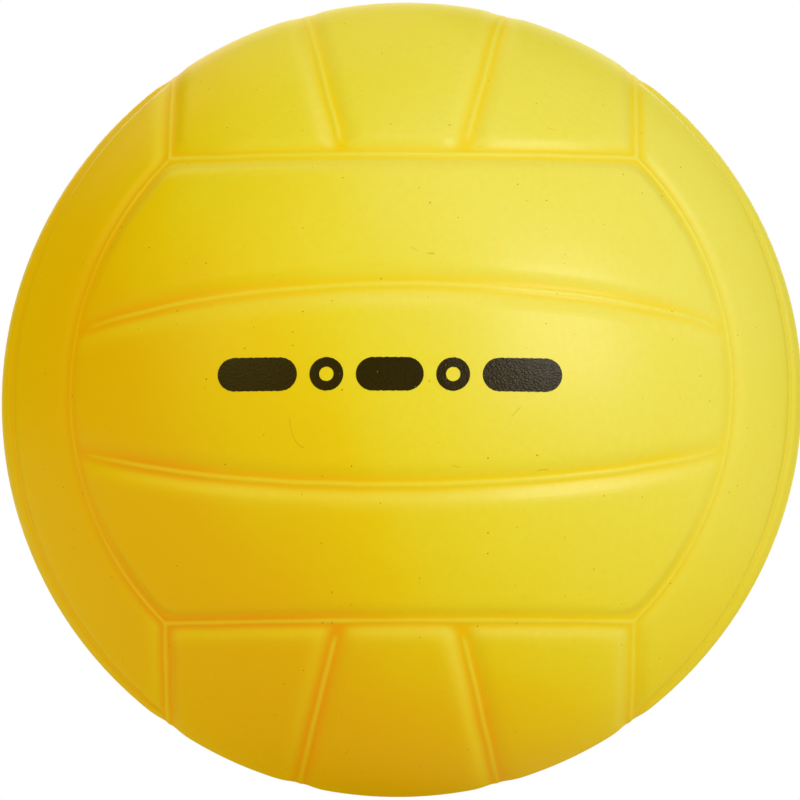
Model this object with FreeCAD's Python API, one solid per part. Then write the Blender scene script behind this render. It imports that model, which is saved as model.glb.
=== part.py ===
# One inflatable game ball: a hollow moulded vinyl skin with raised panels, seam channels and
# beads, a sleeve moulded into its back, and a rubber needle plug that pulls out of the sleeve.
# Millimetres. Origin at the ball's centre, +Z up, front towards -Y, valve towards +Y.
import FreeCAD, Part
import math
import os

V = FreeCAD.Vector
ORIGIN = V(0, 0, 0)

# Ball
ball_circumference = 304.8      # twelve inches round
wall = 1.8                      # vinyl thickness at the panels
inner_seam_tilt = 14.3          # degrees from a face's middle to each of its inner seams

# Seam channels and the bead down the middle of each
channel_depth = 0.5             # panels down to the channel floor
channel_floor = 1.4             # width of the flat floor
channel_width = 4.2             # width where the shoulders reach the panels
shoulder_r = 3.0                # rounding of the panel's edge
bead_r = 0.5                    # half width of the bead's round section
bead_rise = 0.24                # bead's crown above the floor
knot_extra = 0.05               # corner knot's radius beyond the bead's

# Needle plug
head_r = 3.9
head_t = 1.2
stem_r = 2.6
rib_r = 3.0
rib_width = 0.9
rib_count = 3
rib_pitch = 2.4
first_rib = 1.3                 # under the head to the first rib's near side
plug_length = 12.6              # outer face to inner end
tail_chamfer = 0.5
needle_r = 1.0                  # passage for a two millimetre inflation needle
needle_length = 9.0             # cylindrical part of the passage
funnel_r = 1.6
funnel_depth = 0.6
slit_width = 0.1                # lips at the end of the passage, closed when blown up
slit_length = 2.4

# Sleeve that the plug sits in
sleeve_wall = 1.55
sleeve_length = 10.6
key_count = 2
key_rise = 0.5
key_width = 1.0
key_pitch = 3.0
first_key = 3.2                 # outer face to the first key ring's near side
neck_wall = 1.3                 # vinyl round the sleeve, inside the ball
neck_lip = 0.6                  # vinyl past the sleeve's inner end
neck_flare = 1.6                # how far the neck's root spreads under the skin

# Clearances
slide_gap = 0.05                # plug to sleeve, all round
seat_gap = 0.05                 # under the plug's head
bond_gap = 0.03                 # sleeve to vinyl, the fused line
embed = 0.3                     # panels reach this far under the channel floor

ball_r = ball_circumference / (2 * math.pi)
floor_r = ball_r - channel_depth
hollow_r = ball_r - wall
over = 2.0                      # how far a cutting tool stands past what it cuts
WALL_RUN = 0.2                  # panel walls run on this far past the slab they cut
ON_SURFACE = 0.001              # a corner this near ball_r is on the outer surface

# A face's side seams lie in planes ball_r / sqrt(3) from the centre, so that three of them
# meet at each corner of a cube drawn inside the ball.
SIDE_POLAR = math.degrees(math.acos(1 / math.sqrt(3)))
# The six faces: outward direction, then the direction that its three strips run.
FACES = [
    (V(0, -1, 0), V(1, 0, 0)),
    (V(0, 1, 0), V(1, 0, 0)),
    (V(0, 0, 1), V(0, 1, 0)),
    (V(0, 0, -1), V(0, 1, 0)),
    (V(1, 0, 0), V(0, 0, 1)),
    (V(-1, 0, 0), V(0, 0, 1)),
]
# A face is drawn once in its own frame: OUT outwards, ALONG its strips, ACROSS them.
OUT = V(1, 0, 0)
ALONG = V(0, 1, 0)
ACROSS = V(0, 0, 1)


def polar(radius, degrees, axis, side):
    """Point at a radius and an angle from axis, in the half plane that holds side."""
    a = math.radians(degrees)
    return axis * (radius * math.cos(a)) + side * (radius * math.sin(a))


def solid_of_turn(edges, axis):
    """Full turn of a closed outline about an axis through the centre."""
    return Part.Face(Part.Wire(edges)).revolve(ORIGIN, axis, 360)


def lines(points):
    """Straight edges round a list of corners."""
    return [Part.makeLine(p, q) for p, q in zip(points, points[1:] + points[:1])]


def wall_ends(seam_polar, toward, stretch):
    """Foot and top of a channel's sloping wall, as radius and angle from the seam's axis.

    toward is 1 where the panel lies further from the axis than the seam does, and -1 where
    it lies nearer. stretch runs the straight wall on past the floor and past the skin.
    """
    foot_d = channel_floor / 2
    top_d = channel_width / 2
    slope = (top_d - foot_d) / channel_depth
    ends = []
    for height, d in ((-channel_depth - stretch, foot_d - stretch * slope),
                      (stretch, top_d + stretch * slope)):
        r = math.hypot(ball_r + height, d)
        ends.append((r, seam_polar + toward * math.degrees(math.atan2(d, ball_r + height))))
    return ends


def clear_ball(radius):
    """Ball turned so that its poles and its own seam line lie away from the face."""
    pole = (ALONG + ACROSS).normalize()
    back = OUT * -1
    ball = Part.makeSphere(radius)
    ball.Placement = placement(back, pole.cross(back), pole)
    return ball


def placement(x_axis, y_axis, z_axis):
    """Placement that carries X, Y and Z onto three given directions."""
    columns = zip(*[(v.x, v.y, v.z) for v in (x_axis, y_axis, z_axis)])
    rows = [value for row in columns for value in (*row, 0)]
    return FreeCAD.Placement(FreeCAD.Matrix(*rows, 0, 0, 0, 1))


def axis_side(axis, side, seam_polar, toward):
    """Block on the axis's side of one panel wall, which slopes up from the channel floor."""
    low, high = wall_ends(seam_polar, toward, embed + WALL_RUN)
    foot = polar(low[0], low[1], axis, side * -1)
    top = polar(high[0], high[1], axis, side * -1)
    end = axis * (ball_r + over)
    outer = top + axis * (end - top).dot(axis)
    hub = axis * foot.dot(axis)
    return solid_of_turn(lines([foot, top, outer, end, hub]), axis)


def face_cap():
    """Slab of skin inside the circle that bounds a face's two ends, its rim sloped."""
    slab = clear_ball(ball_r).cut(clear_ball(floor_r - embed))
    return slab.common(axis_side(OUT, ALONG, SIDE_POLAR, -1))


def inner_axis(sign):
    """Axis of the great circle that an inner seam follows, and the direction of its middle."""
    t = math.radians(sign * inner_seam_tilt)
    middle = OUT * math.cos(t) + ACROSS * math.sin(t)
    return ACROSS * math.cos(t) - OUT * math.sin(t), middle


def soften(panel):
    """Round the edges where a panel's outer face meets its sloping walls."""
    rim = []
    for edge in panel.Edges:
        ends = [abs(v.Point.Length - ball_r) for v in edge.Vertexes]
        if max(ends) < ON_SURFACE:
            rim.append(edge)
    return panel.makeFillet(shoulder_r, rim)


def middle_panel(cap):
    """Strip between a face's two inner seams."""
    panel = cap
    for sign in (1, -1):
        axis, middle = inner_axis(sign)
        panel = panel.cut(axis_side(axis * sign, middle, 90, 1))
    return soften(panel)


def side_panel(cap, sign):
    """Strip between an inner seam and the face's side seam."""
    axis, middle = inner_axis(sign)
    panel = cap.cut(axis_side(axis * -sign, middle, 90, 1))
    panel = panel.cut(axis_side(ACROSS * sign, OUT, SIDE_POLAR, 1))
    return soften(panel)


def bead(axis, middle, seam_polar, half_angle, radius):
    """Round bead along a seam, half_angle to each side of its middle."""
    crown_r = floor_r + bead_rise
    centre = polar(crown_r - radius, seam_polar, axis, middle)
    turn = FreeCAD.Rotation(axis, -half_angle)
    start = turn.multVec(centre)
    ring = Part.Wire(Part.makeCircle(radius, start, axis.cross(start)))
    return Part.Face(ring).revolve(ORIGIN, axis, 2 * half_angle)


def face_beads():
    """The four beads that a face owns: two side seams and two inner seams."""
    tilt = math.radians(inner_seam_tilt)
    reach = math.degrees(math.acos(math.cos(math.radians(SIDE_POLAR)) / math.cos(tilt)))
    beads = []
    for sign in (1, -1):
        beads.append(bead(ACROSS * sign, OUT, SIDE_POLAR, 45, bead_r))
        axis, middle = inner_axis(sign)
        beads.append(bead(axis, middle, 90, reach, bead_r - knot_extra))
    return beads


def corner_knots():
    """Small ball where three side beads meet, at the eight corners."""
    at = (floor_r + bead_rise - bead_r) / math.sqrt(3)
    radius = bead_r + knot_extra
    signs = (1, -1)
    return [Part.makeSphere(radius, V(x * at, y * at, z * at))
            for x in signs for y in signs for z in signs]


def on_face(shape, out, along):
    """Copy of a shape drawn on the face's own frame, set on one of the six faces."""
    placed = shape.copy()
    placed.Placement = placement(out, along, out.cross(along))
    return placed


def turned(outline):
    """Solid of a full turn about the valve's axis from (radius, depth under the pole)."""
    points = [V(r, ball_r - depth, 0) for r, depth in outline]
    return solid_of_turn(lines(points), V(0, 1, 0))


def flush(shape):
    """Trim a valve piece to the ball's round outer surface."""
    return shape.common(Part.makeSphere(ball_r))


sleeve_bore = rib_r + slide_gap
sleeve_r = sleeve_bore + sleeve_wall
seat_r = head_r + slide_gap
seat_depth = head_t + seat_gap
neck_r = sleeve_r + key_rise + bond_gap + neck_wall
neck_end = sleeve_length + neck_lip


def sleeve_outline(gap, end):
    """Outside of the sleeve with its key rings, grown by gap, down to a depth of end."""
    r = sleeve_r + gap
    key = r + key_rise
    outline = [(0, -over), (r, -over)]
    for i in range(key_count):
        near = first_key + i * key_pitch - gap
        far = near + key_width + 2 * gap
        outline += [(r, near), (key, near), (key, far), (r, far)]
    return outline + [(r, end), (0, end)]


def ball_skin():
    """Hollow vinyl skin: floor sphere, panels and beads outside, valve neck inside."""
    cap = face_cap()
    one_face = [middle_panel(cap), side_panel(cap, 1), side_panel(cap, -1)] + face_beads()
    raised = [on_face(s, out, along) for out, along in FACES for s in one_face]
    skin = Part.makeSphere(floor_r).multiFuse(raised + corner_knots())
    neck = turned([(0, 0), (neck_r + neck_flare, 0), (neck_r + neck_flare, wall),
                   (neck_r, wall + neck_flare), (neck_r, neck_end), (0, neck_end)])
    skin = skin.cut(Part.makeSphere(hollow_r).cut(neck))
    return skin.cut(turned(sleeve_outline(bond_gap, neck_end + over)))


def valve_sleeve():
    """Sleeve with two key rings outside and a seat and bore for the plug inside."""
    sleeve = flush(turned(sleeve_outline(0, sleeve_length)))
    bore = turned([(0, -over), (seat_r, -over), (seat_r, seat_depth), (sleeve_bore, seat_depth),
                   (sleeve_bore, sleeve_length + over), (0, sleeve_length + over)])
    return sleeve.cut(bore)


def valve_plug():
    """Plug with a flush head, sealing ribs, a needle passage and a slit at its inner end."""
    outline = [(0, -over), (head_r, -over), (head_r, head_t), (stem_r, head_t)]
    for i in range(rib_count):
        near = head_t + first_rib + i * rib_pitch
        slope = rib_width / 4
        outline += [(stem_r, near), (rib_r, near + slope), (rib_r, near + rib_width - slope),
                    (stem_r, near + rib_width)]
    outline += [(stem_r, plug_length - tail_chamfer), (stem_r - tail_chamfer, plug_length),
                (0, plug_length)]
    plug = flush(turned(outline))
    passage_end = funnel_depth + needle_length
    plug = plug.cut(turned([(0, -over), (funnel_r, -over), (funnel_r, 0), (needle_r, funnel_depth),
                            (needle_r, passage_end), (0, passage_end)]))
    slit_height = plug_length - passage_end + over
    slit = Part.makeBox(slit_length, slit_height, slit_width,
                        V(-slit_length / 2, ball_r - plug_length - over / 2, -slit_width / 2))
    return plug.cut(slit)


def save(name, shape):
    """Write one node and say what it holds."""
    shape.exportStep("parts/" + name + ".step")
    print(name, "solids", len(shape.Solids), "valid", shape.isValid(),
          "cm3 %.3f" % (shape.Volume / 1000), "faces", len(shape.Faces))


os.makedirs("parts", exist_ok=True)
save("ball_skin", ball_skin())
save("valve_sleeve", valve_sleeve())
save("valve_plug", valve_plug())
print("diameter %.3f" % (2 * ball_r))
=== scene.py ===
# One inflated game ball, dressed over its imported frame: a moulded vinyl skin with its seams,
# a printed mark on its front, and the sleeve and needle plug at its back.
import math

import bmesh
import bpy
import numpy as np
from mathutils import Matrix, Vector


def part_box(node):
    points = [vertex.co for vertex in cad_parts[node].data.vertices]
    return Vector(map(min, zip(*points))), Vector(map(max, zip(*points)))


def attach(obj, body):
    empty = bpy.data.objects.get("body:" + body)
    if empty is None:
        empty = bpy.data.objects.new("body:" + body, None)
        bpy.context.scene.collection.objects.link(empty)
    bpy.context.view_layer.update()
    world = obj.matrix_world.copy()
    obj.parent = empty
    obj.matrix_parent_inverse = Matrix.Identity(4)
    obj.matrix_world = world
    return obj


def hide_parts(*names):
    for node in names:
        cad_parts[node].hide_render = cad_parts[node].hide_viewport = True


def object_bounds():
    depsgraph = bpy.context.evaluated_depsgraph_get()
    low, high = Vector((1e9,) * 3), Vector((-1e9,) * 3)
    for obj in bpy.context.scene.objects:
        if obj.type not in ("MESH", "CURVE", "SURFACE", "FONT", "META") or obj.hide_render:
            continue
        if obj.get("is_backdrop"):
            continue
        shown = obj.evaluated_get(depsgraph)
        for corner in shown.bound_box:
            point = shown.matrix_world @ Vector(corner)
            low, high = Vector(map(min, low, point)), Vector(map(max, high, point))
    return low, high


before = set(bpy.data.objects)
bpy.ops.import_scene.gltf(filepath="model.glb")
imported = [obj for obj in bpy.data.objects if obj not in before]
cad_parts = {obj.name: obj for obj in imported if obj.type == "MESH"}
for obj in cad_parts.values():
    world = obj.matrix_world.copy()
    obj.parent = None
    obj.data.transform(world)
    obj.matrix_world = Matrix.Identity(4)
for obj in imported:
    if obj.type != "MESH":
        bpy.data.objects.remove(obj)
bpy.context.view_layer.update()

# Shapes are worked out in millimetres; MM makes them metres.
MM = 0.001
skin_low, skin_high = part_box("ball_skin")
BALL_R = (skin_high.x - skin_low.x) / 2 / MM
INK_T = 0.03                        # room for the printed film over the vinyl
SKIN_R = BALL_R - INK_T
WALL = 1.8                          # vinyl thickness

# Seam layout, as directions on a ball of radius one. A face has the coordinates out, along
# and across. Its side seams are the circles across = CORNER and -CORNER, its ends the circle
# out = CORNER.
CORNER = 1 / math.sqrt(3)           # coordinate of an inscribed cube's corners
ARC_R = math.sqrt(2 / 3)            # radius of those circles
ARC_END = math.radians(45)          # half the arc of a side seam, between two corners
TILT = math.radians(14.3)           # from a face's middle to each of its inner seams
TEE = math.asin(math.tan(TILT) / math.sqrt(2))      # where an inner seam meets an end's arc
INNER_REACH = math.asin(math.sqrt(ARC_R**2 - (CORNER * math.tan(TILT))**2))
RIM = 2                             # place of the rim after the two side seams
# Out and along of each face
FACES = [
    ((0, -1, 0), (1, 0, 0)),
    ((0, 1, 0), (1, 0, 0)),
    ((0, 0, 1), (0, 1, 0)),
    ((0, 0, -1), (0, 1, 0)),
    ((1, 0, 0), (0, 0, 1)),
    ((-1, 0, 0), (0, 0, 1)),
]
VALVE_FACE = 1

# Cross-section of a seam
CHANNEL_DEPTH = 0.23
CHANNEL_REACH = 1.75
CHANNEL_POWER = 2.6
BEAD_RISE = 0.09
BEAD_REACH = 0.32
BEAD_FADE = (1.2, 3.6)              # an inner seam's bead dies away this near the face's end

# Unevenness left by the mould: how much, its size and its seed
SEAM_DRIFT = (0.05, 9.0, 3)         # sideways, in millimetres
DEPTH_SHARE = (0.08, 24.0, 5)
RISE_SHARE = (0.25, 14.0, 7)
WAVES = 24
WAVE_SPREAD = (0.7, 1.6)

# Painted shade and highlights beside a seam
SEAM_SHADE_REACH = 1.05                  # amber painted shade of the channel reaches this far from a seam
SEAM_SHADE_CUT = 0.25                    # but that much less on an edge that faces the lamps, where the painted edge highlight lies
EDGE_HIGHLIGHT_REACH = 2.4                    # such an edge has a painted highlight out to here
EDGE_LIGHT_SIDE = (0.62, -0.2, 0.76)      # towards the lamps, for the painted edge highlight: right, forward and up
SIDE_FADE = (0.62, 0.78)            # all of it is weaker towards the ball's left and right
SIDE_LOSS = 0.55                    # by up to this share

# Grid lines: line m stands FINE_STEP * m + FINE_GROWTH * m**3 from its seam
FINE_STEP = 0.12
FINE_GROWTH = 0.0011
FINE_LINES = 13
LONG_SPAN = 12                      # even lines between the fine ones of two seams
SHORT_SPAN = 12
END_BLEND = 14.0                    # grid rows turn into the end's arc over this length
WELD = 0.02                         # points nearer than this are one
CREASE = math.radians(50)           # sharper edges than this aren't smoothed

# How the inflated ball leaves a true one: longer along a slanting line across its front
STRETCH = 0.00663
STRETCH_ANGLE = math.radians(27.7)
VALVE_ROUND = 8.0                   # none of it this near the valve's axis
VALVE_BLEND = 10.0                  # and all of it this much further out

# Valve: radii, and depths under the ball's outer surface
SLEEVE_R = 4.6
SLEEVE_BORE = 3.05
SLEEVE_END = 10.6
SEAT_R = 3.95
SEAT_DEPTH = 1.25
KEY_RISE = 0.5                      # of the two rings that lock the sleeve in
KEY_WIDTH = 1.0
KEY_STARTS = (3.2, 6.2)
BOND_GAP = 0.03                     # sleeve to vinyl
HEAD_R = 3.9
HEAD_T = 1.2
STEM_R = 2.6
RIB_R = 3.0
RIB_WIDTH = 0.9
RIB_STARTS = (2.5, 4.9, 7.3)
PLUG_END = 12.6
TAIL_CHAMFER = 0.5
NEEDLE_R = 1.0
NEEDLE_END = 9.6
FUNNEL_R = 1.6
FUNNEL_DEPTH = 0.6
SLIT_HALF = 1.2
SLIT_GAP = 0.1
SLIT_TAPER = 0.4
DOME_START = 0.3                    # the head's dome, from the funnel's edge
DOME_END = 0.4                      # to the head's own
DOME_POINTS = 5

# Roundings of the valve's edges
LIP = 0.16
TINY_FILLET = 0.1
RIB_FILLET = 0.12
SMALL_FILLET = 0.15
END_FILLET = 0.2
FILLET_POINTS = 6

# The skin round the valve, and its neck
HOLE_R = SLEEVE_R + BOND_GAP
HOLE_LIP = 0.22
LIP_R = HOLE_R + HOLE_LIP           # where the hole's rounded lip starts
LIP_ANGLES = (22.5, 45, 67.5, 90)
WINDOW = 7.6                        # half the square of grid that gives way to rings
WINDOW_RINGS = 9
RING_BUNCHING = 0.8                 # power that spaces them, closer towards the hole
NECK_R = 6.43
NECK_END = 11.2
NECK_FLARE = 1.6
FLARE_STEPS = 7
HOLLOW_STEPS = 40
AROUND = 96                         # steps round a turned piece

# Printed mark: bars and rings in a row, each given by its length
MARK_CENTRE = (-1.3, 1.2)
MARK_TILT = math.radians(-0.35)
MARK_LENGTHS = (9.4, 4.0, 8.0, 4.0, 9.4)
MARK_GAP = 1.475
MARK_HEIGHT = 4.0
RING_HOLE = 0.85                    # radius of the hole in a short one
FILM_TOP = 0.02                     # over the vinyl
FILM_ROOT = -0.06                   # its underside lies in the vinyl
INK_STEP = 0.4                      # between points along a bar
INK_ROWS = 6
END_STEPS = 25                      # points round a bar's end
RAGGED = 0.02                       # the ink's edge wanders by waves of this height
RAGGED_WAVES = ((11.0, 3.0), (-7.0, 9.0))


def unit(vectors):
    """Vectors divided by their lengths."""
    return vectors / np.linalg.norm(vectors, axis=-1, keepdims=True)


def side_arc(angles, sign):
    """Side seam: out, along, across = ARC_R cos a, ARC_R sin a, CORNER."""
    across = np.full_like(angles, sign * CORNER)
    return np.stack([ARC_R * np.cos(angles), ARC_R * np.sin(angles), across], -1)


def end_arc(angles, sign):
    """A face's end: out, along, across = CORNER, ARC_R cos a, ARC_R sin a."""
    out = np.full_like(angles, CORNER)
    return np.stack([out, sign * ARC_R * np.cos(angles), ARC_R * np.sin(angles)], -1)


def inner_arc(angles, sign):
    """Inner seam: the great circle through along that leans TILT from the face's middle."""
    out = np.cos(angles) * math.cos(TILT)
    across = np.cos(angles) * math.sin(TILT) * sign
    return np.stack([out, np.sin(angles), across], -1)


def between(lengths, even):
    """Fractions of the way across a strip: fine beside its two seams, even in the middle."""
    lengths = np.asarray(lengths)[..., None]
    m = np.arange(1, FINE_LINES + 1)
    near = (FINE_STEP * m + FINE_GROWTH * m**3) / lengths
    edge = near[..., -1:]
    middle = edge + (1 - 2 * edge) * np.arange(1, even + 1) / (even + 1)
    return np.concatenate([near, middle, 1 - near[..., ::-1]], axis=-1)


def crossings(reach, tee, radius):
    """Angles at which the crossing lines meet an arc that runs from -reach to reach.

    The ends of the two inner seams meet it at -tee and tee.
    """
    long = (reach - tee) * between((reach - tee) * radius, LONG_SPAN)
    short = 2 * tee * between(2 * tee * radius, SHORT_SPAN)
    return np.concatenate([[-reach], long - reach, [-tee], short - tee, [tee], long + tee, [reach]])


def face_grid():
    """Directions of one face's grid points: rows follow its strips, columns cross them.

    Between two neighbouring seams a point is their weighted mean. Near the face's two ends
    the rows are moved by a fading share of the way to the end's own arc.
    """
    side = crossings(ARC_END, TEE, ARC_R * SKIN_R)
    inner = crossings(INNER_REACH, INNER_REACH * TEE / ARC_END, SKIN_R)
    seams = [side_arc(side, -1), inner_arc(inner, -1), inner_arc(inner, 1), side_arc(side, 1)]
    columns = [seams[0][:, None]]
    for first, second, even in zip(seams, seams[1:], (LONG_SPAN, SHORT_SPAN, LONG_SPAN)):
        gap = SKIN_R * np.arccos((first * second).sum(-1))
        share = between(gap, even)[..., None]
        columns += [first[:, None] * (1 - share) + second[:, None] * share, second[:, None]]
    grid = unit(np.concatenate(columns, axis=1))
    for row, sign in ((0, -1), (-1, 1)):
        travelled = (ARC_END - sign * side) * ARC_R * SKIN_R
        fade = np.clip(1 - travelled / END_BLEND, 0, 1)**2
        grid = grid + fade[:, None, None] * (end_arc(side, sign) - grid[row])
    return unit(grid)


def wander(points, size, seed):
    """Smooth unevenness between about -1 and 1: a sum of sine waves size millimetres long."""
    draw = np.random.default_rng(seed)
    heading = unit(draw.normal(size=(WAVES, 3)))
    turns = heading * (2 * math.pi * draw.uniform(*WAVE_SPREAD, (WAVES, 1)) / size)
    phase = draw.uniform(0, 2 * math.pi, WAVES)
    return np.sin(points @ turns.T * SKIN_R + phase).sum(-1) * math.sqrt(2 / WAVES) / 2


def uneven(points, kind):
    """Unevenness of one kind, given by how much, its size and its seed."""
    amount, size, seed = kind
    return amount * wander(points, size, seed)


def seam_distances(local, world, axes):
    """Distance along the surface to the face's two side seams, its rim and its inner seams,
    each with how far a panel's edge there faces the lamps, from 0 to 1, for the painted edge
    highlight and the narrower painted seam shade.

    A distance is the angle from the seam's circle. Beside the seam the edge slopes towards
    it, so it faces the lamps by their direction's share along the circle's axis.
    """
    out, _, across = np.moveaxis(local, -1, 0)
    light_out, _, light_across = axes @ np.array(EDGE_LIGHT_SIDE)
    latitude = math.asin(CORNER)
    seams = [(np.arcsin(across) - latitude, light_across), (np.arcsin(across) + latitude, light_across),
             (np.arcsin(out) - latitude, light_out)]
    for sign in (1, -1):
        lean = sign * math.sin(TILT)
        seams.append((np.arcsin(across * math.cos(TILT) - out * lean),
                      light_across * math.cos(TILT) - light_out * lean))
    drift = uneven(world, SEAM_DRIFT)
    return [(np.abs(angle * SKIN_R + drift), np.clip(-np.sign(angle) * share, 0, 1))
            for angle, share in seams]


def fading(values, start, end):
    """Smooth step from 0 at start to 1 at end."""
    share = np.clip((values - start) / (end - start), 0, 1)
    return share * share * (3 - 2 * share)


def relief(local, world, axes):
    """Height over the round surface, and the shares that the material reads, by name.

    The shares are the channels' part of the height from 0 to -1, how much painted amber
    shade a point has in the seams, their beads left out, how near it is to a bead's crest,
    and how much painted highlight it has as part of a panel's edge that faces the lamps. A
    seam's channel is exp(-(d / reach)**power) deep, its bead exp(-(d / reach)**2) high, its
    painted shade exp(-(d / reach)**2), and its painted edge highlight what exp(-(d / reach)**3)
    holds beyond the painted shade. Seams that meet are joined as one minus the product of what
    each leaves untouched.
    """
    # What the channels, beads, painted seam shade and painted edge highlights leave untouched
    flat, plain, unshaded, unhighlighted = np.ones((4, *local.shape[:-1]))
    distances = seam_distances(local, world, axes)
    rim = distances[RIM][0]
    for number, (d, facing) in enumerate(distances):
        flat *= 1 - np.exp(-(d / CHANNEL_REACH)**CHANNEL_POWER)
        # painted amber shade near each seam, narrower on edges that face the lamps
        unshaded *= 1 - np.exp(-(d / (SEAM_SHADE_REACH * (1 - SEAM_SHADE_CUT * facing)))**2)
        # painted highlight on edges that face the lamps
        unhighlighted *= 1 - facing * np.exp(-(d / EDGE_HIGHLIGHT_REACH)**3)
        crown = np.exp(-(d / BEAD_REACH)**2)
        plain *= 1 - (crown if number <= RIM else crown * fading(rim, *BEAD_FADE))
    depth = CHANNEL_DEPTH * (1 + uneven(world, DEPTH_SHARE))
    rise = BEAD_RISE * (1 + uneven(world, RISE_SHARE))
    strength = 1 - SIDE_LOSS * fading(np.abs(world[..., 0]), *SIDE_FADE)
    shares = {
        "seam_channel": flat - 1,
        "seam_painted_shade": (1 - unshaded) * plain,
        "seam_crest": 1 - plain,
        "edge_highlight": (1 - unhighlighted) * unshaded**2,
    }
    height = rise * (1 - plain) - depth * (1 - flat)
    return height, {label: strength * share for label, share in shares.items()}


def out_of_round(points):
    """Stretch across the front plane, held off the valve so that its bore stays round.

    The ball grows by STRETCH along the slanting line and shrinks by it across the line, and
    is then scaled back to its width.
    """
    c, s = math.cos(STRETCH_ANGLE), math.sin(STRETCH_ANGLE)
    grow = np.eye(2) * (1 - STRETCH) + 2 * STRETCH * np.outer((c, s), (c, s))
    grow /= math.hypot(grow[0, 0], grow[0, 1])
    flat = points[:, [0, 2]]
    weight = fading(np.hypot(*flat.T), VALVE_ROUND, VALVE_ROUND + VALVE_BLEND)
    weight = np.where(points[:, 1] > 0, weight, 1.0)
    moved = points.copy()
    moved[:, [0, 2]] = flat + weight[:, None] * (flat @ grow.T - flat)
    return moved


def grid_quads(rows, columns, start=0):
    """Corner indices of a grid's quads, for points stored row by row."""
    i, j = np.meshgrid(np.arange(rows - 1), np.arange(columns - 1), indexing="ij")
    a = start + (i * columns + j).ravel()
    return np.stack([a, a + columns, a + columns + 1, a + 1], axis=1)


def make_piece(name, points, quads, material, values=None):
    """Mesh object at the origin, its doubles merged and its faces turned outwards.

    values holds one number for each point under the name that the material reads.
    """
    mesh = bpy.data.meshes.new(name)
    mesh.from_pydata((points * MM).tolist(), [], quads.tolist())
    for label, numbers in (values or {}).items():
        layer = mesh.attributes.new(label, "FLOAT", "POINT")
        layer.data.foreach_set("value", numbers)
    shape = bmesh.new()
    shape.from_mesh(mesh)
    bmesh.ops.remove_doubles(shape, verts=shape.verts, dist=WELD * MM)
    bmesh.ops.recalc_face_normals(shape, faces=shape.faces)
    shape.to_mesh(mesh)
    shape.free()
    mesh.shade_smooth()
    mesh.set_sharp_from_angle(angle=CREASE)
    mesh.materials.append(material)
    piece = bpy.data.objects.new(name, mesh)
    bpy.context.scene.collection.objects.link(piece)
    return piece


def surface_height(radius):
    """Height of the skin's round surface at a distance from the valve's axis."""
    return math.sqrt(SKIN_R**2 - radius**2)


def hole_outline():
    """Points (radius, height) from the valve hole's lip to the hollow's far pole.

    They run round the lip, down the bore with its two key grooves, out at the neck's end,
    through the flare into the wall and on round the hollow. Lip, flare and hollow are arcs.
    """
    outline = []
    top = surface_height(LIP_R)
    for a in np.radians(LIP_ANGLES):
        outline.append((LIP_R - HOLE_LIP * math.sin(a), top - HOLE_LIP * (1 - math.cos(a))))
    for start in KEY_STARTS:
        near = BALL_R - start + BOND_GAP
        far = BALL_R - start - KEY_WIDTH - BOND_GAP
        outline += [(HOLE_R, near), (HOLE_R + KEY_RISE, near), (HOLE_R + KEY_RISE, far), (HOLE_R, far)]
    neck_end = BALL_R - NECK_END
    outline += [(HOLE_R, neck_end), (NECK_R, neck_end)]
    hollow_r = BALL_R - WALL
    root_r = NECK_R + NECK_FLARE
    root = math.sqrt(hollow_r**2 - root_r**2)
    for a in np.linspace(0, math.pi / 2, FLARE_STEPS):
        outline.append((root_r - NECK_FLARE * math.cos(a), root - NECK_FLARE * (1 - math.sin(a))))
    for a in np.linspace(math.asin(root_r / hollow_r), math.pi, HOLLOW_STEPS)[1:]:
        outline.append((hollow_r * math.sin(a), hollow_r * math.cos(a)))
    return np.array(outline)


def valve_rings(loop, out, along, across):
    """Rings from a loop of the skin's grid to the valve hole, down its wall and round the inside.

    loop holds directions. A ring between it and the hole is their weighted mean; every other
    ring is a full turn of one point of the hole's outline.
    """
    theta = np.arctan2(loop @ across, loop @ along)
    spokes = np.cos(theta)[:, None] * along + np.sin(theta)[:, None] * across
    lip = unit(spokes * LIP_R + out * surface_height(LIP_R))
    share = (np.linspace(0, 1, WINDOW_RINGS)**RING_BUNCHING)[:, None, None]
    outer = unit(loop * (1 - share) + lip * share) * SKIN_R
    radii, heights = hole_outline().T
    rings = np.concatenate([outer, radii[:, None, None] * spokes + heights[:, None, None] * out])
    return np.concatenate([rings, rings[:, :1]], axis=1)


def window_edges(local):
    """First and last row, then column, of the grid's square that gives way to the rings."""
    middle = len(local) // 2
    inside = np.abs(local) * SKIN_R < WINDOW
    rows = np.nonzero(inside[:, middle, 1])[0]
    columns = np.nonzero(inside[middle, :, 2])[0]
    return rows[0] - 1, rows[-1] + 1, columns[0] - 1, columns[-1] + 1


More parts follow.
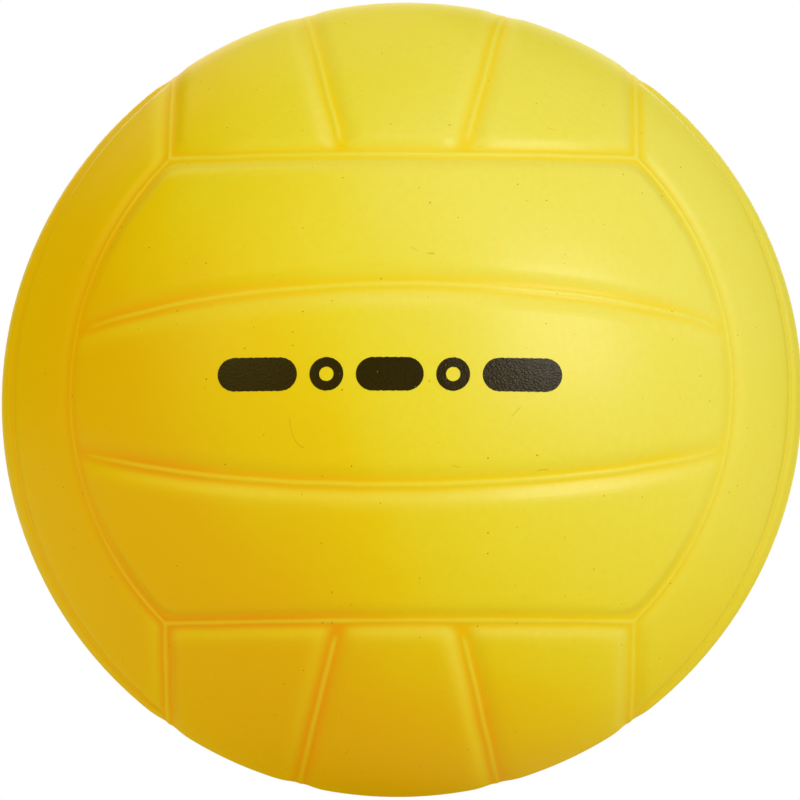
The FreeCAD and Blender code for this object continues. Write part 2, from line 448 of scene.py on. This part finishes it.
def skin_shape():
    """Points and quads of the whole skin, outside and inside, and its seams' values."""
    local = face_grid()
    lines = len(local)
    points, quads, count = [], [], 0
    values = {}
    for number, (out, along) in enumerate(FACES):
        out, along = np.array(out, float), np.array(along, float)
        across = np.cross(out, along)
        axes = np.stack([out, along, across])
        world = local @ axes
        height, shares = relief(local, world, axes)
        face_quads = grid_quads(lines, lines).reshape(lines - 1, lines - 1, 4)
        ring_points = 0
        if number == VALVE_FACE:
            r0, r1, c0, c1 = window_edges(local)
            keep = np.ones((lines - 1, lines - 1), bool)
            keep[r0:r1, c0:c1] = False
            face_quads = face_quads[keep]
            loop = np.concatenate([world[r0:r1, c0], world[r1, c0:c1],
                                   world[r1:r0:-1, c1], world[r0, c1:c0:-1]])
            rings = valve_rings(loop, out, along, across)
            quads.append(grid_quads(*rings.shape[:2], start=count))
            points.append(rings.reshape(-1, 3))
            ring_points = len(points[-1])
            count += ring_points
        for label, share in shares.items():
            values.setdefault(label, []).append(np.concatenate([np.zeros(ring_points), share.ravel()]))
        quads.append(face_quads.reshape(-1, 4) + count)
        points.append((world * (SKIN_R + height)[..., None]).reshape(-1, 3))
        count += len(points[-1])
    values = {label: np.concatenate(numbers) for label, numbers in values.items()}
    return np.concatenate(points), np.concatenate(quads), values


def rounded(corners):
    """Closed outline whose corners (radius, height, fillet) are arcs of their fillets.

    An arc runs between the points fillet / tan(half angle) along the two sides. A point of it
    is the sum of the spokes to those two, by the sines of the turn left and of the turn made.
    """
    places = np.array([corner[:2] for corner in corners], float)
    outline = []
    for i, (*_, fillet) in enumerate(corners):
        here = places[i]
        if fillet == 0:
            outline.append(here)
            continue
        back = unit(places[i - 1] - here)
        ahead = unit(places[(i + 1) % len(corners)] - here)
        half = math.acos(float(back @ ahead)) / 2
        centre = here + unit(back + ahead) * fillet / math.sin(half)
        first = here + back * fillet / math.tan(half) - centre
        last = here + ahead * fillet / math.tan(half) - centre
        turn = math.pi - 2 * half
        for t in np.linspace(0, 1, FILLET_POINTS):
            outline.append(centre + (math.sin((1 - t) * turn) * first + math.sin(t * turn) * last)
                           / math.sin(turn))
    return np.array(outline)


def turned(outline, flat=None):
    """Closed outline of (radius, height) points, carried round the valve's axis.

    A point is at radius * cos t, height, radius * sin t. flat narrows a ring to an oval, whose
    half width is radius * flat.
    """
    outline = np.concatenate([outline, outline[:1]])
    flat = np.ones(len(outline)) if flat is None else np.concatenate([flat, flat[:1]])
    theta = np.linspace(0, 2 * math.pi, AROUND + 1)
    radii, heights = outline.T[:, :, None]
    rings = np.stack([radii * np.cos(theta), heights + 0 * theta,
                      radii * flat[:, None] * np.sin(theta)], axis=-1)
    return rings.reshape(-1, 3), grid_quads(len(outline), AROUND + 1)


def sleeve_outline():
    """Outside with two key rings, then the bore and the plug's seat."""
    corners = [(SEAT_R, surface_height(SEAT_R), LIP), (SLEEVE_R, surface_height(SLEEVE_R), LIP)]
    for start in KEY_STARTS:
        near, far = BALL_R - start, BALL_R - start - KEY_WIDTH
        corners += [(SLEEVE_R, near, 0), (SLEEVE_R + KEY_RISE, near, TINY_FILLET),
                    (SLEEVE_R + KEY_RISE, far, TINY_FILLET), (SLEEVE_R, far, 0)]
    end, seat = BALL_R - SLEEVE_END, BALL_R - SEAT_DEPTH
    corners += [(SLEEVE_R, end, END_FILLET), (SLEEVE_BORE, end, TINY_FILLET),
                (SLEEVE_BORE, seat, TINY_FILLET), (SEAT_R, seat, 0)]
    return rounded(corners)


def plug_outline():
    """Domed head, ribbed stem and tail, then up the slit and the needle's passage.

    The second result is each point's flatness, as turned() takes it: the slit's two are narrow.
    """
    dome = np.linspace(FUNNEL_R + DOME_START, HEAD_R - DOME_END, DOME_POINTS)
    corners = [(r, surface_height(r), 0) for r in dome]
    head = BALL_R - HEAD_T
    corners += [(HEAD_R, surface_height(HEAD_R), LIP), (HEAD_R, head, SMALL_FILLET),
                (STEM_R, head, TINY_FILLET)]
    slope = RIB_WIDTH / 4
    for start in RIB_STARTS:
        near = BALL_R - start
        corners += [(STEM_R, near, 0), (RIB_R, near - slope, RIB_FILLET),
                    (RIB_R, near - RIB_WIDTH + slope, RIB_FILLET), (STEM_R, near - RIB_WIDTH, 0)]
    tail = BALL_R - PLUG_END
    corners += [(STEM_R, tail + TAIL_CHAMFER, SMALL_FILLET), (STEM_R - TAIL_CHAMFER, tail, SMALL_FILLET)]
    outside = len(rounded(corners + [(SLIT_HALF, tail, 0)])) - 1
    needle, funnel = BALL_R - NEEDLE_END, BALL_R - FUNNEL_DEPTH
    corners += [(SLIT_HALF, tail, 0), (SLIT_HALF, needle - SLIT_TAPER, 0), (NEEDLE_R, needle, 0),
                (NEEDLE_R, funnel, 0), (FUNNEL_R, surface_height(FUNNEL_R), 0)]
    outline = rounded(corners)
    flat = np.ones(len(outline))
    flat[outside:outside + 2] = SLIT_GAP / 2 / SLIT_HALF
    return outline, flat


def ink_bar(start, length):
    """One closed film of ink: a bar with round ends, or a ring where it is no longer than high.

    Each point is a point of the bar's middle line plus a share of the way to its outline. The
    top rows run outwards and the bottom rows back, and a ring's rows close on themselves. Two
    sine waves make the outline ragged.
    """
    radius = MARK_HEIGHT / 2
    reach = length / 2 - radius
    ring = reach < INK_STEP
    sides = max(int(length / INK_STEP), 2)
    quarter = math.pi / 2
    heading = np.concatenate([
        np.full(sides, quarter), np.linspace(quarter, -quarter, END_STEPS),
        np.full(sides, -quarter), np.linspace(-quarter, -3 * quarter, END_STEPS)])
    middle = np.concatenate([
        np.linspace(-reach, reach, sides), np.full(END_STEPS, reach),
        np.linspace(reach, -reach, sides), np.full(END_STEPS, -reach)])
    out = np.linspace(RING_HOLE if ring else 0.0, radius, INK_ROWS)
    top, root = np.full(INK_ROWS, FILM_TOP), np.full(INK_ROWS, FILM_ROOT)
    rows = np.concatenate([out, out[::-1], out[:1] if ring else []])
    level = np.concatenate([top, root, top[:1] if ring else []])
    x = middle + rows[:, None] * np.cos(heading) + start + length / 2
    z = rows[:, None] * np.sin(heading)
    ragged = sum(RAGGED * np.sin(a * x + b * z) for a, b in RAGGED_WAVES)
    z = z + ragged * (np.abs(z) / radius)
    c, s = math.cos(MARK_TILT), math.sin(MARK_TILT)
    x, z = MARK_CENTRE[0] + c * x - s * z, MARK_CENTRE[1] + s * x + c * z
    depth = np.sqrt((SKIN_R + level[:, None])**2 - x**2 - z**2)
    points = np.stack([x, -depth, z], axis=-1)
    return np.concatenate([points, points[:, :1]], axis=1)


def ink_shape():
    """Points and quads of the whole printed mark, a row of bars and rings."""
    points, quads, count = [], [], 0
    start = -(sum(MARK_LENGTHS) + MARK_GAP * (len(MARK_LENGTHS) - 1)) / 2
    for length in MARK_LENGTHS:
        film = ink_bar(start, length)
        points.append(film.reshape(-1, 3))
        quads.append(grid_quads(*film.shape[:2], start=count))
        count += len(points[-1])
        start += length + MARK_GAP
    return np.concatenate(points), np.concatenate(quads)


# Materials. Patterns have their sizes in millimetres.
PAINTED_LIT_SIDE = (0.8, -0.4, 0.5)       # painted light: lemon and paler towards this side, painted golden shade away from it
CLOUD = 20.0                        # soft patches of thinner pigment
CLOUD_SHARE = 0.25                  # how much they add to the turn to lemon
GRAIN = 0.9
SWELL = 7.0                         # slow waves in the wall
SPECK_CELL = 1.15
SPECK = 0.26                        # widest speck
SPECK_RARITY = 3.0                  # a higher power leaves fewer wide ones
SPECK_SHARPNESS = 40.0
HAIR_BEND = 9.0                     # a hairline turns about once in this length
HAIR_PATCH = 4.0                    # and shows in patches of this size
INK_WRINKLE = 0.42
INK_BEND = 0.8                      # the wrinkles bend over this length
INK_SHIFT = 0.35                    # by up to this much
INK_WEAR_CELL = 0.9
INK_WEAR = 0.2
SLEEVE_CLOUD = 3.0
SLEEVE_GRAIN = 0.5                  # coarser than a real one, so that it shows
RUBBER_BLOOM = 1.6
RUBBER_GRAIN = 0.3                  # this too


def linear(code):
    """Linear colour with alpha from an sRGB hex code."""
    srgb = np.array([int(code[i:i + 2], 16) for i in (1, 3, 5)]) / 255
    plain = np.where(srgb <= 0.04045, srgb / 12.92, ((srgb + 0.055) / 1.055)**2.4)
    return (*plain.tolist(), 1.0)


def add(tree, kind, inputs=(), **settings):
    """Add one shader node. settings are its own; inputs are values, sockets or nodes to link.

    An input is given by its name, or by its number among those that the settings leave in
    use. A node is linked from the first output that its own settings leave in use.
    """
    node = tree.nodes.new("ShaderNode" + kind)
    for name, value in settings.items():
        setattr(node, name, value)
    in_use = [socket for socket in node.inputs if socket.enabled]
    for key, value in dict(inputs).items():
        socket = in_use[key] if isinstance(key, int) else node.inputs[key]
        if isinstance(value, bpy.types.Node):
            value = next(output for output in value.outputs if output.enabled)
        if isinstance(value, bpy.types.NodeSocket):
            tree.links.new(value, socket)
        else:
            socket.default_value = value
    return node


def empty_material(name):
    """New material and its node tree, with nothing in it yet."""
    material = bpy.data.materials.new(name)
    material.use_nodes = True
    material.node_tree.nodes.clear()
    return material, material.node_tree


def speckle(tree, place, cell, size):
    """Share of a point that lies in a speck: one speck to a cell, most far smaller than size."""
    cells = add(tree, "TexVoronoi", {"Vector": place, "Scale": 1 / (cell * MM)})
    chance = add(tree, "SeparateColor", {"Color": cells.outputs["Color"]})
    few = add(tree, "Math", {0: chance.outputs["Red"], 1: SPECK_RARITY}, operation="POWER")
    reach = add(tree, "Math", {0: few, 1: size / 2 / cell}, operation="MULTIPLY")
    inside = add(tree, "Math", {0: reach, 1: cells.outputs["Distance"]}, operation="SUBTRACT")
    return add(tree, "Math", {0: inside, 1: SPECK_SHARPNESS}, operation="MULTIPLY", use_clamp=True)


def hairlines(tree, place):
    """Fine scratches: the middle level of a smooth noise, kept only in a few patches."""
    drawn = add(tree, "TexNoise", {"Vector": place, "Scale": 1 / (HAIR_BEND * MM), "Detail": 0.0})
    level = add(tree, "Math", {0: drawn, 1: 0.5}, operation="SUBTRACT")
    away = add(tree, "Math", {0: level}, operation="ABSOLUTE")
    thread = add(tree, "MapRange", {"Value": away, "From Min": 0.0015, "From Max": 0.005,
                                    "To Min": 0.4, "To Max": 0.0})
    patch = add(tree, "TexNoise", {"Vector": place, "Scale": 1 / (HAIR_PATCH * MM), "Detail": 1.0})
    kept = add(tree, "MapRange", {"Value": patch, "From Min": 0.7, "From Max": 0.74})
    return add(tree, "Math", {0: thread, 1: kept}, operation="MULTIPLY")


def vinyl_colour(tree, place, seams, clouds, grain, specks):
    """Pigment painted golden as shade and lemon as light, and the layers of colour over it.

    A layer is its share and its colour. Over the golden ground lie lemon as painted light, a
    paler lemon as painted highlight, painted highlights on panels' edges that face the lamps,
    painted amber shade in the seams, painted highlights on the beads' crests, mottling, dirty
    specks and hairlines.
    """
    # Painted light and shade: lemon towards the lamps' side, golden away from it
    toward = tuple(unit(np.array(PAINTED_LIT_SIDE)).tolist())
    lean = add(tree, "VectorMath", {0: place, 1: toward}, operation="DOT_PRODUCT").outputs["Value"]
    side = add(tree, "MapRange", {"Value": lean, "From Min": -BALL_R * MM, "From Max": BALL_R * MM})
    cloudy = add(tree, "Math", {0: clouds, 1: CLOUD_SHARE, 2: side}, operation="MULTIPLY_ADD")
    lemon = add(tree, "MapRange", {"Value": cloudy, "From Min": 0.465, "From Max": 0.845},
                interpolation_type="SMOOTHSTEP")
    # Painted highlight: a paler lemon on the most-lit side, where the key lamp's gloss falls
    pale = add(tree, "MapRange", {"Value": cloudy, "From Min": 0.675, "From Max": 1.125})
    # Painted highlight on the beads' crests
    crest_highlight = add(tree, "MapRange", {"Value": seams["seam_crest"], "From Min": 0.2, "To Max": 0.42})
    fleck = add(tree, "MapRange", {"Value": grain, "From Min": 0.3, "From Max": 0.7, "To Max": 0.12})
    dirt = add(tree, "Math", {0: specks, 1: 0.6}, operation="MULTIPLY")
    # Colours of the painted edge highlight and of the painted amber seam shade, golden on the painted
    # shaded side and lemon on the painted lit side
    edge_highlight_colour, amber = [
        add(tree, "Mix", {0: lemon, 1: linear(golden), 2: linear(lemony)}, data_type="RGBA")
        for golden, lemony in (("#F2EA50", "#F0EC98"), ("#F4A200", "#EED800"))]
    colour = linear("#ECC600")
    for share, tint in (
        # painted light and shade: lemon towards the lamps, golden away from them
        (lemon, linear("#EAE41E")),
        # painted highlight
        (pale, linear("#E6E88C")),
        # painted highlight on panel edges that face the lamps
        (seams["edge_highlight"], edge_highlight_colour),
        # painted amber shade in the seams
        (seams["seam_painted_shade"], amber),
        # painted highlight on the crests
        (crest_highlight, linear("#F0EA80")),
        (fleck, linear("#E6C800")),
        (dirt, linear("#6A500C")),
        (hairlines(tree, place), linear("#B89A10")),
    ):
        colour = add(tree, "Mix", {0: share, 1: colour, 2: tint}, data_type="RGBA")
    return colour


def moulded_vinyl():
    """Satin moulded PVC.

    The pigment gives a saturated yellow, golden at the lower left and lemon towards the upper
    right with soft clouds. This is painted shade and painted light that follow the lamps, with a
    paler painted highlight where the key lamp's broad gloss falls. Amber is painted into the
    seams as their shade, less on edges that face the lamps. The beads' crests are painted paler
    as highlights, and so are the panels' edges that face up and right, towards the lamps. The
    mould leaves a fine soft grain, a few dark specks and hairlines. A glossier outer layer
    follows the seams, so that their edges catch the lamps.
    """
    material, tree = empty_material("moulded_satin_pvc")
    place = add(tree, "TexCoord").outputs["Object"]
    labels = ("seam_channel", "seam_painted_shade", "seam_crest", "edge_highlight")
    seams = {label: add(tree, "Attribute", attribute_name=label).outputs["Fac"] for label in labels}
    clouds = add(tree, "TexNoise", {"Vector": place, "Scale": 1 / (CLOUD * MM), "Detail": 3.0})
    grain = add(tree, "TexNoise", {"Vector": place, "Scale": 1 / (GRAIN * MM), "Detail": 2.0})
    swell = add(tree, "TexNoise", {"Vector": place, "Scale": 1 / (SWELL * MM), "Detail": 1.0})
    specks = speckle(tree, place, SPECK_CELL, SPECK)

    shoulders = add(tree, "Bump", {"Height": seams["seam_channel"], "Distance": 0.15 * MM})
    broad = add(tree, "Bump", {"Height": swell, "Distance": 0.03 * MM, "Normal": shoulders})
    fine = add(tree, "Bump", {"Height": grain, "Distance": 0.006 * MM, "Normal": broad})
    pits = add(tree, "Bump", {"Height": specks, "Distance": 0.03 * MM, "Strength": 0.6, "Normal": fine},
               invert=True)
    crown = add(tree, "Bump", {"Height": seams["seam_crest"], "Distance": 0.04 * MM, "Normal": pits})
    sheen = add(tree, "Bump", {"Height": seams["seam_channel"], "Distance": 0.5 * MM, "Normal": crown})
    shader = add(tree, "BsdfPrincipled", {
        "Base Color": vinyl_colour(tree, place, seams, clouds, grain, specks),
        "Roughness": add(tree, "MapRange", {"Value": clouds, "From Min": 0.3, "From Max": 0.7,
                                            "To Min": 0.38, "To Max": 0.44}),
        "IOR": 1.5,
        "Specular IOR Level": 0.1,
        "Normal": pits,
        "Coat Weight": 0.9,
        "Coat Roughness": 0.36,
        "Coat IOR": 1.5,
        "Coat Normal": sheen,
    })
    add(tree, "OutputMaterial", {"Surface": shader})
    return material


def printed_ink():
    """Pad-printed black vinyl ink: brown-black, finely wrinkled, and greyer where it glints."""
    material, tree = empty_material("pad_printed_ink")
    place = add(tree, "TexCoord").outputs["Object"]
    bent = add(tree, "TexNoise", {"Vector": place, "Scale": 1 / (INK_BEND * MM), "Detail": 2.0})
    shift = add(tree, "VectorMath", {0: bent.outputs["Color"], 1: (INK_SHIFT * MM,) * 3, 2: place},
                operation="MULTIPLY_ADD")
    wrinkle = add(tree, "TexVoronoi", {"Vector": shift, "Scale": 1 / (INK_WRINKLE * MM)},
                  feature="DISTANCE_TO_EDGE")
    ridge = add(tree, "MapRange", {"Value": wrinkle, "From Max": 0.3})
    wear = speckle(tree, place, INK_WEAR_CELL, INK_WEAR)
    worn = add(tree, "Math", {0: wear, 1: 0.7}, operation="MULTIPLY")
    black = add(tree, "Mix", {0: ridge, 1: linear("#1E0E0B"), 2: linear("#0B0404")}, data_type="RGBA")
    shader = add(tree, "BsdfPrincipled", {
        "Base Color": add(tree, "Mix", {0: worn, 1: black, 2: linear("#8C7A3A")}, data_type="RGBA"),
        "Roughness": 0.3,
        "IOR": 1.5,
        "Specular IOR Level": 0.36,
        "Normal": add(tree, "Bump", {"Height": ridge, "Distance": 0.02 * MM}),
    })
    add(tree, "OutputMaterial", {"Surface": shader})
    return material


def sleeve_vinyl():
    """Injection-moulded soft PVC, cream and a little cloudy, smoother than the skin."""
    material, tree = empty_material("injection_moulded_cream_pvc")
    place = add(tree, "TexCoord").outputs["Object"]
    clouds = add(tree, "TexNoise", {"Vector": place, "Scale": 1 / (SLEEVE_CLOUD * MM), "Detail": 3.0})
    grain = add(tree, "TexNoise", {"Vector": place, "Scale": 1 / (SLEEVE_GRAIN * MM), "Detail": 2.0})
    cream = add(tree, "Mix", {0: clouds, 1: linear("#EADFA8"), 2: linear("#F3EBC4")}, data_type="RGBA")
    shader = add(tree, "BsdfPrincipled", {
        "Base Color": cream,
        "Roughness": add(tree, "MapRange", {"Value": clouds, "From Min": 0.3, "From Max": 0.7,
                                            "To Min": 0.32, "To Max": 0.42}),
        "IOR": 1.52,
        "Normal": add(tree, "Bump", {"Height": grain, "Distance": 0.006 * MM}),
    })
    add(tree, "OutputMaterial", {"Surface": shader})
    return material


def valve_rubber():
    """Moulded black rubber: matt, with a faint grey bloom and a fine pebbled grain."""
    material, tree = empty_material("moulded_black_rubber")
    place = add(tree, "TexCoord").outputs["Object"]
    bloom = add(tree, "TexNoise", {"Vector": place, "Scale": 1 / (RUBBER_BLOOM * MM), "Detail": 4.0})
    greyed = add(tree, "MapRange", {"Value": bloom, "From Min": 0.4, "From Max": 0.75})
    grain = add(tree, "TexNoise", {"Vector": place, "Scale": 1 / (RUBBER_GRAIN * MM), "Detail": 3.0})
    black = add(tree, "Mix", {0: greyed, 1: linear("#1C1B1A"), 2: linear("#393734")}, data_type="RGBA")
    shader = add(tree, "BsdfPrincipled", {
        "Base Color": black,
        "Roughness": add(tree, "MapRange", {"Value": bloom, "From Min": 0.3, "From Max": 0.7,
                                            "To Min": 0.55, "To Max": 0.7}),
        "IOR": 1.52,
        "Normal": add(tree, "Bump", {"Height": grain, "Distance": 0.015 * MM}),
    })
    add(tree, "OutputMaterial", {"Surface": shader})
    return material


# The ball's own pieces
skin_points, skin_quads, skin_values = skin_shape()
skin = make_piece("vinyl_skin", out_of_round(skin_points), skin_quads, moulded_vinyl(), skin_values)
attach(skin, "ball")
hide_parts("ball_skin")

ink_points, ink_quads = ink_shape()
mark = make_piece("printed_mark", out_of_round(ink_points), ink_quads, printed_ink())
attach(mark, "ball")

sleeve = make_piece("cream_sleeve", *turned(sleeve_outline()), sleeve_vinyl())
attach(sleeve, "ball")
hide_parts("valve_sleeve")

plug = make_piece("rubber_plug", *turned(*plug_outline()), valve_rubber())
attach(plug, "plug")
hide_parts("valve_plug")


# Stage, light and camera
FLOOR_SIZE = 6.0
ROOM_COLOUR = "#FFEA00"
ROOM_STRENGTH = 0.6
CAMERA_DISTANCE = 35.23 * BALL_R * MM
CAMERA_RANGE = (0.1, 20.0)
VIEW_TURN = (2.237, 0.163, 0.125)   # degrees about the camera's right, up and back
IMAGE_SIDE = 800
BALL_CENTRE = (401.87, 399.85)      # pixels
BALL_PIXELS = 400.49419             # half the outline's width
SENSOR = 36.0

# Soft boxes: azimuth to the right of the front and elevation in degrees, side in metres,
# watts, colour
LAMP_DISTANCE = 1.3
SOFT_BOXES = {
    "key_box": (47, 18, 0.8, 6.4, "#FFFFFF"),
    "top_box": (15, 60, 0.9, 1.6, "#FFFFFF"),
    "left_box": (-50, 25, 0.9, 2.3, "#FFEC98"),
    "back_box": (200, 45, 0.9, 0.9, "#FFF0C0"),
    "rear_box": (180, 10, 0.6, 1.0, "#FFFFFF"),
}


def floor_material():
    """Light table, seen from above only: matt and pale, with a soft warm glow of its own.

    To the camera it is toned against the warm room, and keeps the ball's shadow.
    """
    material, tree = empty_material("light_table")
    path = add(tree, "LightPath")
    matt = add(tree, "BsdfDiffuse", {"Color": linear("#AEACA4")})
    glow = add(tree, "Emission", {"Color": linear("#FFE400"), "Strength": 0.42})
    table = add(tree, "AddShader", {0: matt, 1: glow})
    toned = add(tree, "BsdfDiffuse", {"Color": linear("#C4CEFF")})
    lift = add(tree, "Emission", {"Color": linear("#E2E2FF"), "Strength": 0.33})
    shown = add(tree, "AddShader", {0: toned, 1: lift})
    top = add(tree, "MixShader", {0: path.outputs["Is Camera Ray"], 1: table, 2: shown})
    clear = add(tree, "BsdfTransparent")
    below = add(tree, "NewGeometry").outputs["Backfacing"]
    seen = add(tree, "MixShader", {0: below, 1: top, 2: clear})
    add(tree, "OutputMaterial", {"Surface": seen})
    return material


def floor():
    """Square sheet under the ball's lowest point."""
    half = FLOOR_SIZE / 2
    level = float(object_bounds()[0][2])
    corners = [(-half, -half, level), (half, -half, level), (half, half, level), (-half, half, level)]
    mesh = bpy.data.meshes.new("floor")
    mesh.from_pydata(corners, [], [(0, 1, 2, 3)])
    mesh.materials.append(floor_material())
    sheet = bpy.data.objects.new("floor", mesh)
    bpy.context.scene.collection.objects.link(sheet)
    sheet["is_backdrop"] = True


def lamp(name, azimuth, elevation, size, watts, colour):
    """Square soft box aimed at the ball."""
    a, e = math.radians(azimuth), math.radians(elevation)
    toward = Vector((math.sin(a) * math.cos(e), -math.cos(a) * math.cos(e), math.sin(e)))
    light = bpy.data.lights.new(name, "AREA")
    light.shape = "SQUARE"
    light.size = size
    light.energy = watts
    light.color = linear(colour)[:3]
    box = bpy.data.objects.new(name, light)
    box.location = toward * LAMP_DISTANCE
    box.rotation_euler = toward.to_track_quat("Z", "Y").to_euler()
    bpy.context.scene.collection.objects.link(box)


def surroundings():
    """Even warm light all round, in place of the light that scatters within the vinyl.

    Only the camera sees white there, because the ball has no metal or glass to show it.
    """
    world = bpy.data.worlds.new("studio")
    bpy.context.scene.world = world
    world.use_nodes = True
    tree = world.node_tree
    tree.nodes.clear()
    path = add(tree, "LightPath")
    room = add(tree, "Background", {"Color": linear(ROOM_COLOUR), "Strength": ROOM_STRENGTH})
    white = add(tree, "Background", {"Color": linear("#FFFFFF"), "Strength": 1.0})
    seen = add(tree, "MixShader", {0: path.outputs["Is Camera Ray"], 1: room, 2: white})
    add(tree, "OutputWorld", {"Surface": seen})


def camera():
    """Long lens square to the front, a little below the ball's middle."""
    view = bpy.data.cameras.new("view")
    tangent = math.tan(math.asin(BALL_R * MM / CAMERA_DISTANCE))
    view.sensor_width = SENSOR
    view.lens = BALL_PIXELS / tangent * SENSOR / IMAGE_SIDE
    view.shift_x = (IMAGE_SIDE / 2 - BALL_CENTRE[0]) / IMAGE_SIDE
    view.shift_y = (BALL_CENTRE[1] - IMAGE_SIDE / 2) / IMAGE_SIDE
    view.clip_start, view.clip_end = CAMERA_RANGE
    eye = bpy.data.objects.new("view", view)
    turn = Vector([math.radians(v) for v in VIEW_TURN])
    upright = Matrix(((1, 0, 0), (0, 0, -1), (0, 1, 0))).to_4x4()
    facing = upright @ Matrix.Rotation(turn.length, 4, turn)
    eye.matrix_world = Matrix.Translation(facing.col[2].xyz * CAMERA_DISTANCE) @ facing
    bpy.context.scene.collection.objects.link(eye)
    bpy.context.scene.camera = eye


floor()
for lamp_name, lamp_values in SOFT_BOXES.items():
    lamp(lamp_name, *lamp_values)
surroundings()
camera()
bpy.context.scene.view_settings.view_transform = "Standard"
